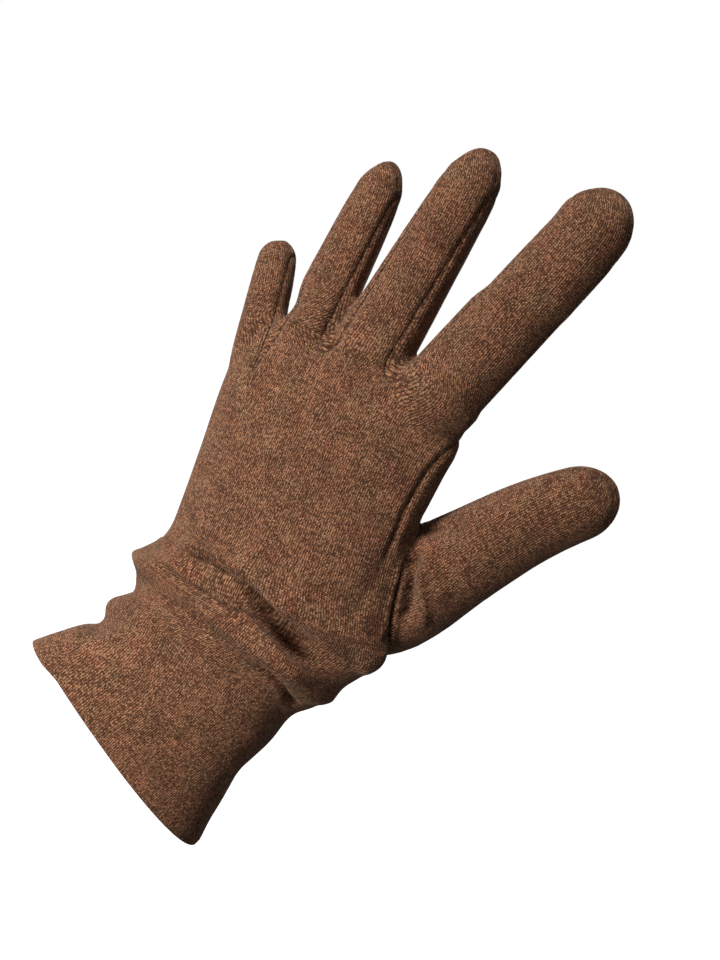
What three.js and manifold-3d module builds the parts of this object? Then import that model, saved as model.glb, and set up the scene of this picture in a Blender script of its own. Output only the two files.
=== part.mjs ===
// A knitted wool glove liner, the left one of a pair, in its worn form with spread fingers.
// Millimetres and degrees. +Z runs from the wrist to the fingertips, the back of the glove faces -Y,
// and the thumb is on the +X side. The origin is the centre of the cuff's open rim.
// It is cut and sewn like a fine glove from five pieces of cloth: the hand panel, which is one piece
// folded round the little-finger side, three forked strips (fourchettes) between the fingers, and the thumb.
// The hand panel's cloth is five solids here: one for the cuff and hand, and one for each finger.
import * as THREE from "three";
import Module from "manifold-3d";
import { mergeVertices } from "three/addons/utils/BufferGeometryUtils.js";

const wasm = await Module();
wasm.setup();

// Cloth
const clothThickness = 1.3;
const seamGap = 0.3;

// Cuff, from the open rim up to the narrowest part of the wrist. From the rim it leans towards the
// thumb side and the palm, so that the rim stands out behind the back of the glove.
const cuffLength = 49;
const cuffLean = 21.5;
const cuffLift = 19;
const rimWidth = 94.5;
const rimDepth = 46;
const rimSlope = 21.5;
const wristWidth = 77;
const wristDepth = 42;

// Hand, from the wrist up to the end where the fingers branch off
const palmLength = 120;
const palmWidth = 88;
const palmDepth = 31;
const cornerSquareness = 2.35;

// Slouched folds round the wrist
const foldStretch = 50;
const foldHeight = 8;

// Fingers: lean is measured from +Z towards the thumb, and lift from the palm plane towards the back
const littleLength = 50;
const littleWidth = 15.2;
const littleRootWidth = 17.5;
const littleDepth = 14;
const ringLength = 75;
const ringWidth = 18.2;
const ringRootWidth = 21.8;
const ringDepth = 16.5;
const middleLength = 89;
const middleWidth = 22.4;
const middleRootWidth = 28.2;
const middleDepth = 18.5;
const indexLength = 99;
const indexWidth = 26.4;
const indexRootWidth = 28.8;
const indexDepth = 20.5;
const fingers = [
  {
    name: "little", length: littleLength, width: littleWidth, rootWidth: littleRootWidth,
    depth: littleDepth, lean: -17, lift: -12, tipShare: 0.592,
  },
  {
    name: "ring", length: ringLength, width: ringWidth, rootWidth: ringRootWidth,
    depth: ringDepth, lean: 1, lift: -5, tipShare: 0.879,
  },
  {
    name: "middle", length: middleLength, width: middleWidth, rootWidth: middleRootWidth,
    depth: middleDepth, lean: 7.5, lift: 0, tipShare: 0.759,
  },
  {
    name: "index", length: indexLength, width: indexWidth, rootWidth: indexRootWidth,
    depth: indexDepth, lean: 22, lift: 8, tipShare: 0.568,
  },
];
// tipShare is the length of the round tip as a share of the finger's width. The cloth of each finger is
// a solid of its own from this share of the finger's length up, parted from the hand panel's by a seam gap.
const fingerFromRoot = 0.24;
// Where each finger's axis starts: across from the end of the hand's centreline in palm widths, and
// down from it in palm lengths
const fingerRoots = [
  { across: -0.405, down: 0.19 },
  { across: -0.238, down: 0.086 },
  { across: 0.028, down: 0.077 },
  { across: 0.326, down: 0.114 },
];

// Thumb: its axis starts low in the hand tube, sunk towards the palm side, and its end turns outwards
// past the bend. The start is given in places up the hand tube and in palm widths across it.
const thumbLength = 111;
const thumbWidth = 30;
const thumbRootWidth = 39;
const thumbDepth = 25;
const thumbLean = 35;
const thumbTipTurn = 15;
const thumbTipRound = 13;
const thumbSink = 12;
const thumbBend = 0.6;
const thumbStart = { at: 1.22, across: 0.282 };

// Seams of the fourchettes: how far from a finger's axis the seam runs, as a share of its half width,
// where the strip starts and ends as shares of the finger's length, and how far its point reaches
// below the fork
const fourchetteShare = 0.74;
const stripFromRoot = 0.12;
const stripPastTip = 1.1;
const forkDrops = [16, 7, 6];

// How finely the cloth is faceted
const handSides = 36;
const fingerSides = 18;
const thumbSides = 20;
const thumbSteps = 24;
const foldPitch = 4;
const plainPitch = 10;
const mergeWithin = 1e-4;

const rad = THREE.MathUtils.degToRad;
const vec = (x, y, z) => new THREE.Vector3(x, y, z);

// Reads one column of a table of rows, smoothly between the rows, at a place given in the column "at".
function readColumn(rows, column, at) {
  const last = rows.length - 1;
  let i = rows.findIndex((row, n) => n < last && at < rows[n + 1].at);
  if (i < 0) i = last - 1;
  const [a, b] = [rows[i], rows[i + 1]];
  const [before, after] = [rows[Math.max(i - 1, 0)], rows[Math.min(i + 2, last)]];
  const span = b.at - a.at;
  const t = THREE.MathUtils.clamp((at - a.at) / span, 0, 1);
  const slopeA = ((b[column] - before[column]) / (b.at - before.at)) * span;
  const slopeB = ((after[column] - a[column]) / (after.at - a.at)) * span;
  const [t2, t3] = [t * t, t * t * t];
  return (
    (2 * t3 - 3 * t2 + 1) * a[column] +
    (t3 - 2 * t2 + t) * slopeA +
    (-2 * t3 + 3 * t2) * b[column] +
    (t3 - t2) * slopeB
  );
}

// The hand tube: at runs from 0 to 1 up the cuff and from 1 to 2 up the hand. shift moves a section
// sideways in palm widths. rim, wrist and palm say how much of each named width and depth it has, and
// deep is a further share of the depth. turn and pitch tip it, in shares of the rim's slope and the
// cuff's lift.
const handRows = [
  { at: 0.0, shift: 0.0, rim: 1.0, wrist: 0.0, palm: 0.0, deep: 1.0, turn: 1.0, pitch: 1.0 },
  { at: 0.15, shift: 0.0, rim: 0.68, wrist: 0.31, palm: 0.0, deep: 1.0, turn: 1.0, pitch: 1.0 },
  { at: 0.4, shift: 0.01, rim: 0.2, wrist: 0.78, palm: 0.0, deep: 1.0, turn: 0.9, pitch: 1.0 },
  { at: 0.7, shift: 0.0, rim: 0.0, wrist: 0.98, palm: 0.0, deep: 1.0, turn: 0.65, pitch: 0.9 },
  { at: 1.0, shift: -0.02, rim: 0.0, wrist: 1.0, palm: 0.0, deep: 1.0, turn: 0.42, pitch: 0.7 },
  { at: 1.06, shift: 0.035, rim: 0.0, wrist: 0.4, palm: 0.61, deep: 1.05, turn: 0.3, pitch: 0.5 },
  { at: 1.13, shift: 0.07, rim: 0.0, wrist: 0.0, palm: 1.02, deep: 1.2, turn: 0.15, pitch: 0.3 },
  { at: 1.2, shift: 0.115, rim: 0.0, wrist: 0.0, palm: 1.055, deep: 1.15, turn: 0.0, pitch: 0.15 },
  { at: 1.28, shift: 0.105, rim: 0.0, wrist: 0.0, palm: 1.03, deep: 1.1, turn: 0.0, pitch: 0.0 },
  { at: 1.39, shift: 0.082, rim: 0.0, wrist: 0.0, palm: 1.0, deep: 1.06, turn: 0.0, pitch: 0.0 },
  { at: 1.55, shift: 0.059, rim: 0.0, wrist: 0.0, palm: 0.985, deep: 1.02, turn: 0.0, pitch: 0.0 },
  { at: 1.72, shift: 0.052, rim: 0.0, wrist: 0.0, palm: 1.01, deep: 0.96, turn: 0.0, pitch: 0.0 },
  { at: 1.84, shift: 0.057, rim: 0.0, wrist: 0.0, palm: 1.02, deep: 0.86, turn: -0.08, pitch: 0.0 },
  { at: 1.94, shift: 0.05, rim: 0.0, wrist: 0.0, palm: 0.93, deep: 0.7, turn: -0.2, pitch: 0.0 },
  { at: 2.0, shift: 0.041, rim: 0.0, wrist: 0.0, palm: 0.82, deep: 0.48, turn: -0.25, pitch: 0.0 },
];

// Folds round the wrist. little, back, thumb and palm place the crest on each side, in shares of the
// fold stretch above the wrist. The columns that end in Rise are heights in shares of the fold height.
const foldRows = [
  {
    name: "collar",
    little: 0.28, back: 0.6, thumb: 0.62, palm: 0.4,
    littleRise: 0.5, backRise: 0.4, thumbRise: 0.0, palmRise: 0.35, breadth: 0.13,
  },
  {
    name: "hollow",
    little: 0.5, back: 0.42, thumb: 0.4, palm: 0.3,
    littleRise: -0.05, backRise: -0.55, thumbRise: -0.05, palmRise: -0.1, breadth: 0.1,
  },
  {
    name: "roll",
    little: 0.22, back: 0.24, thumb: 0.12, palm: 0.16,
    littleRise: 0.5, backRise: 0.55, thumbRise: 0.35, palmRise: 0.45, breadth: 0.1,
  },
  {
    name: "lower_roll",
    little: -0.32, back: -0.08, thumb: -0.2, palm: -0.2,
    littleRise: 0.42, backRise: 0.3, thumbRise: 0.05, palmRise: 0.32, breadth: 0.11,
  },
  {
    name: "soft_wave",
    little: -0.7, back: -0.4, thumb: -0.5, palm: -0.5,
    littleRise: 0.0, backRise: 0.16, thumbRise: 0.05, palmRise: 0.18, breadth: 0.14,
  },
];

// A value given on the four sides of the tube, smoothly in between. Angle 0 is the thumb side,
// 90 the back, 180 the little-finger side and 270 the palm.
function roundValue(sides, angle) {
  const cos = Math.cos(angle);
  const sin = Math.sin(angle);
  const across = cos > 0 ? sides.thumb : sides.little;
  const through = sin > 0 ? sides.back : sides.palm;
  return across * cos * cos + through * sin * sin;
}

// Height of the folds at a distance up from the wrist, on one side of the tube.
function foldRise(aboveWrist, angle) {
  let rise = 0;
  for (const fold of foldRows) {
    const crest = roundValue(fold, angle) * foldStretch;
    const tall = roundValue(
      {
        thumb: fold.thumbRise,
        back: fold.backRise,
        little: fold.littleRise,
        palm: fold.palmRise,
      },
      angle,
    );
    const away = Math.abs(aboveWrist - crest) / (fold.breadth * foldStretch);
    rise += tall * foldHeight * Math.exp(-(away ** 3));
  }
  return rise;
}

// One oval section with slightly square corners.
function ovalRing({ centre, across, through, width, depth, sides, grow = () => 0 }) {
  const ring = [];
  const power = 2 / cornerSquareness;
  for (let j = 0; j < sides; j++) {
    const angle = (2 * Math.PI * j) / sides;
    const cos = Math.cos(angle);
    const sin = Math.sin(angle);
    const extra = grow(angle);
    const x = Math.sign(cos) * Math.abs(cos) ** power * (width / 2) + cos * extra;
    const y = Math.sign(sin) * Math.abs(sin) ** power * (depth / 2) + sin * extra;
    ring.push(centre.clone().addScaledVector(across, x).addScaledVector(through, y));
  }
  return ring;
}

// Moves every point of a stack of rings out along the surface normal, or in if distance is negative.
function offsetRings(rings, distance) {
  return rings.map((ring, i) =>
    ring.map((point, j) => {
      const sides = ring.length;
      const [below, above] = [rings[Math.max(i - 1, 0)], rings[Math.min(i + 1, rings.length - 1)]];
      const around = ring[(j + 1) % sides].clone().sub(ring[(j + sides - 1) % sides]);
      const along = above[j].clone().sub(below[j]);
      const normal = along.cross(around).normalize();
      return point.clone().addScaledVector(normal, distance);
    }),
  );
}

// A closed solid from a stack of rings, with a fan over each end.
function ringSolid(rings) {
  const sides = rings[0].length;
  const points = rings.flat();
  const ends = [rings[0], rings[rings.length - 1]].map((ring) => {
    const middle = vec(0, 0, 0);
    ring.forEach((point) => middle.addScaledVector(point, 1 / sides));
    return middle;
  });
  const first = points.length;
  points.push(...ends);
  const faces = [];
  for (let j = 0; j < sides; j++) {
    const next = (j + 1) % sides;
    const top = (rings.length - 1) * sides;
    faces.push(first, j, next);
    faces.push(first + 1, top + next, top + j);
    for (let i = 0; i < rings.length - 1; i++) {
      const [a, b] = [i * sides + j, i * sides + next];
      faces.push(a, b + sides, b);
      faces.push(a, a + sides, b + sides);
    }
  }
  return solidOf(points, faces);
}

function solidOf(points, faces) {
  const vertProperties = new Float32Array(points.flatMap((p) => [p.x, p.y, p.z]));
  const mesh = new wasm.Mesh({ numProp: 3, vertProperties, triVerts: new Uint32Array(faces) });
  return new wasm.Manifold(mesh);
}

// A closed solid from a three.js geometry.
function solidOfGeometry(geometry) {
  geometry.deleteAttribute("normal");
  geometry.deleteAttribute("uv");
  const merged = mergeVertices(geometry, mergeWithin);
  const position = merged.getAttribute("position");
  const points = Array.from({ length: position.count }, (_, i) =>
    vec(position.getX(i), position.getY(i), position.getZ(i)),
  );
  return solidOf(points, merged.index.array);
}

// Hand tube: its centreline leans and lifts in the cuff, and stands up along +Z in the hand.
const cuffHeading = vec(
  Math.sin(rad(cuffLean)) * Math.cos(rad(cuffLift)),
  Math.sin(rad(cuffLift)),
  Math.cos(rad(cuffLean)) * Math.cos(rad(cuffLift)),
);
const wrist = cuffHeading.clone().multiplyScalar(cuffLength);

function handCentre(at) {
  const shift = readColumn(handRows, "shift", at) * palmWidth;
  const centre = wrist.clone().multiplyScalar(Math.min(at, 1));
  return centre.add(vec(shift, 0, palmLength * Math.max(at - 1, 0)));
}

// How far up from the wrist a place on the hand tube is, in millimetres.
const aboveWrist = (at) => (at - 1) * (at < 1 ? cuffLength : palmLength);

function handRing(at) {
  const read = (column) => readColumn(handRows, column, at);
  const [rim, wristShare, palm] = [read("rim"), read("wrist"), read("palm")];
  const turn = rad(read("turn") * rimSlope);
  const pitch = rad(read("pitch") * cuffLift);
  return ovalRing({
    centre: handCentre(at),
    across: vec(Math.cos(turn), 0, -Math.sin(turn)),
    through: vec(0, -Math.cos(pitch), Math.sin(pitch)),
    width: rim * rimWidth + wristShare * wristWidth + palm * palmWidth,
    depth: (rim * rimDepth + wristShare * wristDepth + palm * palmDepth) * read("deep"),
    sides: handSides,
    grow: (angle) => foldRise(aboveWrist(at), angle),
  });
}

// Places of the hand's rings: close together where the folds are, and wider apart elsewhere. The folds
// reach these shares of the fold stretch down and up from the wrist.
const foldsDown = 0.75;
const foldsUp = 0.85;
const knuckles = [1.84, 1.94, 2];
function handPlaces() {
  const foldFrom = 1 - (foldsDown * foldStretch) / cuffLength;
  const foldTo = 1 + (foldsUp * foldStretch) / palmLength;
  const spread = (from, to, length, pitch) => {
    const steps = Math.max(2, Math.round(((to - from) * length) / pitch));
    return Array.from({ length: steps }, (_, i) => from + ((to - from) * i) / steps);
  };
  return [
    ...spread(0, foldFrom, cuffLength, plainPitch),
    ...spread(foldFrom, 1, cuffLength, foldPitch),
    ...spread(1, foldTo, palmLength, foldPitch),
    ...spread(foldTo, knuckles[0], palmLength, plainPitch),
    ...knuckles,
  ];
}

// Finger and thumb tubes: at is the share of the length, wide and deep are shares of the width and
// depth, and root is how much of the root's extra width is left.
const fingerRows = [
  { at: -0.3, wide: 0.8, root: 0.8, deep: 0.5 },
  { at: 0.0, wide: 1.0, root: 1.0, deep: 1.04 },
  { at: 0.2, wide: 1.0, root: 0.95, deep: 1.1 },
  { at: 0.4, wide: 1.0, root: 0.65, deep: 1.03 },
  { at: 0.62, wide: 1.0, root: 0.25, deep: 1.0 },
  { at: 0.82, wide: 0.97, root: 0.0, deep: 0.94 },
  { at: 1.0, wide: 0.93, root: 0.0, deep: 0.88 },
];
const thumbRows = [
  { at: 0.0, wide: 0.6, root: 1.0, deep: 0.4 },
  { at: 0.14, wide: 1.0, root: 1.0, deep: 0.95 },
  { at: 0.28, wide: 1.0, root: 1.1, deep: 1.12 },
  { at: 0.45, wide: 1.0, root: 0.45, deep: 1.05 },
  { at: 0.62, wide: 1.0, root: 0.0, deep: 1.0 },
  { at: 0.8, wide: 0.89, root: 0.0, deep: 0.92 },
  { at: 1.0, wide: 0.77, root: 0.0, deep: 0.84 },
];

// The rings of a finger or thumb, with a round tip in steps of a quarter turn. axis gives the middle of
// the tube and the two directions across it at a share of the length.
const tipTurns = [0, 25, 48, 68, 82];
const tipClear = 0.04;
function tubeRings({ rows, length, width, rootWidth, depth, tipRound, sides, axis }) {
  const tipStart = 1 - tipRound / length;
  const plain = rows.map((row) => row.at).filter((at) => at < tipStart - tipClear);
  const tip = tipTurns.map((turn) => tipStart + (1 - tipStart) * Math.sin(rad(turn)));
  return [...plain, ...tip].map((at) => {
    const read = (column) => readColumn(rows, column, at);
    const { centre, across, through } = axis(at);
    const inTip = Math.max(0, (at - tipStart) / (1 - tipStart));
    const rounding = Math.sqrt(1 - inTip * inTip);
    return ovalRing({
      centre, across, through, sides,
      width: (read("wide") * width + read("root") * (rootWidth - width)) * rounding,
      depth: read("deep") * depth * rounding,
    });
  });
}

// Axis frame of a finger: its start, its heading, and the directions across it.
function fingerFrame(finger, root) {
  const lean = rad(finger.lean);
  const lift = rad(finger.lift);
  const heading = vec(
    Math.sin(lean) * Math.cos(lift),
    -Math.sin(lift),
    Math.cos(lean) * Math.cos(lift),
  );
  const across = vec(Math.cos(lean), 0, -Math.sin(lean));
  const through = across.clone().cross(heading).normalize();
  const start = handCentre(2).add(vec(root.across * palmWidth, 0, -root.down * palmLength));
  return { finger, heading, across, through, start };
}

function fingerRings({ finger, heading, across, through, start }) {
  const axis = (at) => ({
    centre: start.clone().addScaledVector(heading, at * finger.length),
    across,
    through,
  });
  const tipRound = finger.tipShare * finger.width;
  return tubeRings({ ...finger, tipRound, rows: fingerRows, sides: fingerSides, axis });
}

// The thumb's axis, followed in short steps because its lean grows past the bend.
function thumbAxis(at) {
  const point = handCentre(thumbStart.at).add(vec(thumbStart.across * palmWidth, thumbSink, 0));
  const leanAt = (share) => {
    const bent = Math.max(0, (share - thumbBend) / (1 - thumbBend));
    return rad(thumbLean + thumbTipTurn * bent);
  };
  for (let i = 0; i < thumbSteps; i++) {
    const lean = leanAt((at * (i + 0.5)) / thumbSteps);
    const step = (at * thumbLength) / thumbSteps;
    point.add(vec(Math.sin(lean) * step, 0, Math.cos(lean) * step));
  }
  const lean = leanAt(at);
  return {
    centre: point,
    across: vec(Math.cos(lean), 0, -Math.sin(lean)),
    through: vec(0, -1, 0),
  };
}

const thumbRings = tubeRings({
  rows: thumbRows,
  length: thumbLength,
  width: thumbWidth,
  rootWidth: thumbRootWidth,
  depth: thumbDepth,
  tipRound: thumbTipRound,
  sides: thumbSides,
  axis: thumbAxis,
});

// Outer and inner forms of the whole glove. The hollow runs on past the rim so that it opens there.
const handRings = handPlaces().map(handRing);
const handHollow = offsetRings(handRings, -clothThickness);
const pastRim = 3;
const mouth = handHollow[0].map((point) => point.clone().addScaledVector(cuffHeading, -pastRim));
handHollow.unshift(mouth);
handHollow[handHollow.length - 1].forEach((point) => (point.z -= clothThickness));

const fingerFrames = fingers.map((finger, i) => fingerFrame(finger, fingerRoots[i]));
const fingerTubes = fingerFrames.map(fingerRings);
const union = (solids) => solids.reduce((a, b) => a.add(b));
const handOuter = union([handRings, ...fingerTubes].map(ringSolid));
const fingerHollows = fingerTubes.map((rings) => ringSolid(offsetRings(rings, -clothThickness)));
const handInner = union([ringSolid(handHollow), ...fingerHollows]);
const thumbInner = ringSolid(offsetRings(thumbRings, -clothThickness));
const thumbOuter = ringSolid(thumbRings);
const thumbHole = ringSolid(offsetRings(thumbRings, seamGap));

// A prism right through the glove, from an outline seen from the back.
const prismReach = 2 * rimDepth;
function throughPrism(outline) {
  const shape = new THREE.Shape(outline.map((p) => new THREE.Vector2(p.x, p.z)));
  const geometry = new THREE.ExtrudeGeometry(shape, { depth: 2 * prismReach, bevelEnabled: false });
  geometry.translate(0, 0, -prismReach);
  geometry.rotateX(Math.PI / 2);
  return solidOfGeometry(geometry);
}

// A point beside a finger's axis, at a share of its length and a distance across it.
function beside(f, at, off) {
  const along = f.start.clone().addScaledVector(f.heading, at * f.finger.length);
  return along.addScaledVector(f.across, off);
}
const seamOff = (f) => (fourchetteShare * f.finger.width) / 2;

// The strip between two fingers: all cloth beyond a line along each finger's side. spare widens it, so
// that the cloth beside the strip keeps the seam gap to it.
function gapPrism(left, right, drop, spare) {
  const leftSeam = (at) => beside(left, at, seamOff(left) - spare);
  const rightSeam = (at) => beside(right, at, spare - seamOff(right));
  const point = leftSeam(stripFromRoot).add(rightSeam(stripFromRoot)).multiplyScalar(0.5);
  point.z -= drop + spare;
  return throughPrism([
    point,
    rightSeam(stripFromRoot),
    rightSeam(stripPastTip),
    leftSeam(stripPastTip),
    leftSeam(stripFromRoot),
  ]);
}

// The cloth of one finger above its root, between the seams on its two sides. A side with no strip is
// taken whole. spare lets it start lower, so that the hand panel keeps the seam gap to it.
function fingerPrism(f, i, spare) {
  const from = fingerFromRoot - spare / f.finger.length;
  const left = i > 0 ? seamOff(f) : f.finger.width;
  const right = i < fingers.length - 1 ? seamOff(f) : f.finger.width;
  return throughPrism([
    beside(f, from, -left),
    beside(f, from, right),
    beside(f, stripPastTip, right),
    beside(f, stripPastTip, -left),
  ]);
}

const shell = handOuter.subtract(handInner);
const gaps = forkDrops.map((drop, i) => {
  const [left, right] = [fingerFrames[i], fingerFrames[i + 1]];
  return {
    name: `fourchette_${left.finger.name}_${right.finger.name}`,
    strip: gapPrism(left, right, drop, 0),
    cut: gapPrism(left, right, drop, seamGap),
  };
});

const cloth = new THREE.MeshStandardMaterial({ color: 0x6b4a36, roughness: 0.95, metalness: 0 });
const group = new THREE.Group();
const addPiece = (name, solid) => {
  const made = solid.getMesh();
  const geometry = new THREE.BufferGeometry()
    .setAttribute("position", new THREE.BufferAttribute(made.vertProperties, 3))
    .setIndex(new THREE.BufferAttribute(made.triVerts, 1));
  const piece = new THREE.Mesh(geometry, cloth.clone());
  piece.name = name;
  group.add(piece);
};

const panel = shell.subtract(union(gaps.map((gap) => gap.cut)));
const fingerCuts = fingerFrames.map((f, i) => fingerPrism(f, i, seamGap));
addPiece("hand_panel", panel.subtract(thumbHole).subtract(union(fingerCuts)));
fingerFrames.forEach((f, i) => {
  addPiece(`${f.finger.name}_finger`, panel.intersect(fingerPrism(f, i, 0)));
});
gaps.forEach((gap) => addPiece(gap.name, shell.intersect(gap.strip)));
addPiece("thumb_piece", thumbOuter.subtract(thumbInner).subtract(handInner));

export default group;
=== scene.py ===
# %% [markdown]
# # A knitted glove liner
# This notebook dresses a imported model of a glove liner: a fine wool jersey glove, cut and sewn, that
# keeps its worn form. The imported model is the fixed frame. Each piece of cloth is modelled again here
# with folds, seams and a knitted surface, in the same place, and stands for its node in the frame.

# %% Load the frame
import math

import bmesh
import bpy
import numpy as np
from mathutils import Matrix, Vector
from mathutils.kdtree import KDTree


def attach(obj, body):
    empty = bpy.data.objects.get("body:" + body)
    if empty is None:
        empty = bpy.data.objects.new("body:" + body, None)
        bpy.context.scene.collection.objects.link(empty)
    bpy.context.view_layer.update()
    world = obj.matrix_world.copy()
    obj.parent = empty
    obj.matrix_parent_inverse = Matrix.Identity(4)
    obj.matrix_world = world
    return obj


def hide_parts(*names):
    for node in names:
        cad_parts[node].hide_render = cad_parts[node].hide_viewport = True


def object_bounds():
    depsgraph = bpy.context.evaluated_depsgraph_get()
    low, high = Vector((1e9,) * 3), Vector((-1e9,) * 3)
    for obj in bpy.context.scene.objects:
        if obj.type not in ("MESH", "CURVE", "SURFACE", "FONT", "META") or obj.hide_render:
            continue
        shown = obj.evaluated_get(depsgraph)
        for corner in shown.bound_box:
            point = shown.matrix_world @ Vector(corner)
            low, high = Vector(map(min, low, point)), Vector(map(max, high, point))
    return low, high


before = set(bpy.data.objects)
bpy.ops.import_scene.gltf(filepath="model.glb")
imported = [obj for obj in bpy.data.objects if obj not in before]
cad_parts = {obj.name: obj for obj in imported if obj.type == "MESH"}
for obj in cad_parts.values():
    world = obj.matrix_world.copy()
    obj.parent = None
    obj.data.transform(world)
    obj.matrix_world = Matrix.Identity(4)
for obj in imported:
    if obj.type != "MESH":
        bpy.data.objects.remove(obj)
cad_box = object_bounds()
MM = 0.001
print("nodes:", sorted(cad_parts))

# %% [markdown]
# ## The glove's sizes
# The glove is seven tubes of cloth that run into each other: the hand, four fingers and the thumb. A
# tube is a stack of oval sections, and a short table says how its width, depth and tilt change on the
# way up. The tables could be read off the frame's mesh, but a table of shares is easier to change, and
# it also tells the cloth later on which way its stitches run. Lengths are in millimetres.

# %% Tables of sections
CLOTH = 1.25
CUFF_LENGTH, CUFF_LEAN, CUFF_LIFT = 49.0, 21.5, 19.0
RIM_WIDTH, RIM_DEPTH, RIM_SLOPE = 94.5, 46.0, 21.5
WRIST_WIDTH, WRIST_DEPTH = 77.0, 42.0
PALM_LENGTH, PALM_WIDTH, PALM_DEPTH = 120.0, 88.0, 31.0
SQUARENESS = 2.35
FOLD_STRETCH, FOLD_HEIGHT = 50.0, 8.0


def table(columns, *rows):
    """A table with named columns, as arrays."""
    return dict(zip(columns.split(), np.array(rows, float).T))


HAND = table(
    "at    shift   rim   wrist  palm   deep  turn   pitch",
    (0.00, 0.000, 1.00, 0.00, 0.000, 1.00, 1.00, 1.00),
    (0.15, 0.000, 0.68, 0.31, 0.000, 1.00, 1.00, 1.00),
    (0.40, 0.010, 0.20, 0.78, 0.000, 1.00, 0.90, 1.00),
    (0.70, 0.000, 0.00, 0.98, 0.000, 1.00, 0.65, 0.90),
    (1.00, -0.020, 0.00, 1.00, 0.000, 1.00, 0.42, 0.70),
    (1.06, 0.035, 0.00, 0.40, 0.610, 1.05, 0.30, 0.50),
    (1.13, 0.070, 0.00, 0.00, 1.020, 1.20, 0.15, 0.30),
    (1.20, 0.115, 0.00, 0.00, 1.055, 1.15, 0.00, 0.15),
    (1.28, 0.105, 0.00, 0.00, 1.030, 1.10, 0.00, 0.00),
    (1.39, 0.082, 0.00, 0.00, 1.000, 1.06, 0.00, 0.00),
    (1.55, 0.059, 0.00, 0.00, 0.985, 1.02, 0.00, 0.00),
    (1.72, 0.052, 0.00, 0.00, 1.010, 0.96, 0.00, 0.00),
    (1.84, 0.057, 0.00, 0.00, 1.020, 0.86, -0.08, 0.00),
    (1.94, 0.050, 0.00, 0.00, 0.930, 0.70, -0.20, 0.00),
    (2.00, 0.041, 0.00, 0.00, 0.820, 0.48, -0.25, 0.00),
)
FINGER = table(
    "at     wide  root  deep",
    (-0.30, 0.80, 0.80, 0.50),
    (0.00, 1.00, 1.00, 1.04),
    (0.20, 1.00, 0.95, 1.10),
    (0.40, 1.00, 0.65, 1.03),
    (0.62, 1.00, 0.25, 1.00),
    (0.82, 0.97, 0.00, 0.94),
    (1.00, 0.93, 0.00, 0.88),
)
THUMB = table(
    "at    wide  root  deep",
    (0.00, 0.60, 1.00, 0.40),
    (0.14, 1.00, 1.00, 0.95),
    (0.28, 1.00, 1.10, 1.12),
    (0.45, 1.00, 0.45, 1.05),
    (0.62, 1.00, 0.00, 1.00),
    (0.80, 0.89, 0.00, 0.92),
    (1.00, 0.77, 0.00, 0.84),
)
FINGERS = {
    "little": dict(
        length=50, width=15.2, root=17.5, depth=14.0, lean=-17, lift=-12, tip=9, across=-0.405, down=0.190,
    ),
    "ring": dict(
        length=75, width=17.8, root=21.8, depth=16.5, lean=1, lift=-5, tip=16, across=-0.238, down=0.086,
    ),
    "middle": dict(
        length=89, width=21.6, root=28.2, depth=18.5, lean=7.5, lift=0, tip=17, across=0.028, down=0.077,
    ),
    "index": dict(
        length=99.4, width=26.4, root=28.8, depth=20.5, lean=21.4, lift=8, tip=15, across=0.326, down=0.114,
    ),
}
THUMB_SIZES = dict(length=110.4, width=30, root=38.0, depth=25, lean=35.4, turn=17, bend=0.6, tip=13)
THUMB_START = dict(at=1.22, across=0.282, sink=12)

# %% [markdown]
# A value between two rows follows a smooth curve through the rows (a Hermite curve), so that the cloth
# has no kink where one row ends.


# %% Read a table smoothly
def read(rows, column, at):
    """One column of a table at the places given in at."""
    x, y = rows["at"], rows[column]
    at = np.asarray(at, float)
    i = np.clip(np.searchsorted(x, at, side="right") - 1, 0, len(x) - 2)
    before, after = np.maximum(i - 1, 0), np.minimum(i + 2, len(x) - 1)
    span = x[i + 1] - x[i]
    t = np.clip((at - x[i]) / span, 0, 1)
    slope_a = (y[i + 1] - y[before]) / (x[i + 1] - x[before]) * span
    slope_b = (y[after] - y[i]) / (x[after] - x[i]) * span
    t2, t3 = t * t, t * t * t
    return (
        (2 * t3 - 3 * t2 + 1) * y[i] + (t3 - 2 * t2 + t) * slope_a
        + (3 * t2 - 2 * t3) * y[i + 1] + (t3 - t2) * slope_b
    )


def unit(v):
    """Vectors scaled to length one."""
    return v / np.linalg.norm(v, axis=-1, keepdims=True)


# %% [markdown]
# ## Wrist folds
# The glove is longer than it needs to be, and the spare cloth slouches into soft rolls round the wrist.
# Each roll winds round at its own slope, so a row gives its height up the wrist on four sides. A row
# with negative heights is the deep hollow between two rolls.

# %% Fold table
FOLDS = {
    "collar": dict(place=(0.62, 0.60, 0.28, 0.40), rise=(0.0, 0.40, 0.50, 0.35), breadth=0.13),
    "hollow": dict(place=(0.40, 0.42, 0.50, 0.30), rise=(-0.05, -0.55, -0.05, -0.10), breadth=0.10),
    "roll": dict(place=(0.12, 0.24, 0.22, 0.16), rise=(0.35, 0.55, 0.50, 0.45), breadth=0.10),
    "lower_roll": dict(place=(-0.20, -0.08, -0.32, -0.20), rise=(0.05, 0.30, 0.42, 0.32), breadth=0.11),
    "soft_wave": dict(place=(-0.50, -0.40, -0.70, -0.50), rise=(0.05, 0.16, 0.0, 0.18), breadth=0.14),
}


def round_value(sides, angle):
    """A value given on the thumb side, back, little-finger side and palm, smoothly in between."""
    thumb, back, little, palm = sides
    cos, sin = np.cos(angle), np.sin(angle)
    return np.where(cos > 0, thumb, little) * cos**2 + np.where(sin > 0, back, palm) * sin**2


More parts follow.
